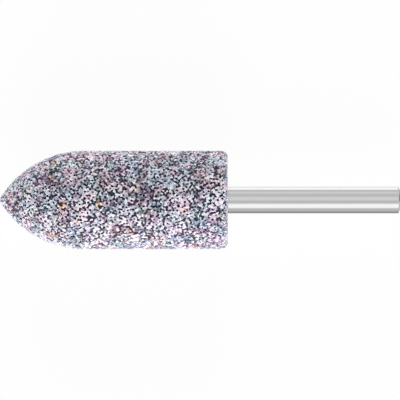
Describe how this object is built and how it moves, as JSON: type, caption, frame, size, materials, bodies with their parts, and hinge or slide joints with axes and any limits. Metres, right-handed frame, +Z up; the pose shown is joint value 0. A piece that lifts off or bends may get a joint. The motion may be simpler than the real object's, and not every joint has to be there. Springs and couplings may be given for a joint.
{
  "type": "mounted point",
  "caption": "Tree-shaped abrasive head of bonded grain, cemented on a straight steel shank, for grinding with a hand tool's collet.",
  "frame": {"origin": "centre of the shank's free end face", "axes": "+X along the tool's axis, out of the shank's free end; the head's tip points to -X; +Z up, with the tool level, as a tool held by its shank"},
  "size_m": [0.09, 0.0222, 0.0222],
  "materials": {
    "bonded_grain": "matte",
    "set_cement": "matte",
    "ground_steel": "satin"
  },
  "bodies": {
    "root": {"abrasive_head": "bonded_grain", "bonding_cement": "set_cement", "shank": "ground_steel"}
  },
  "joints": []
}
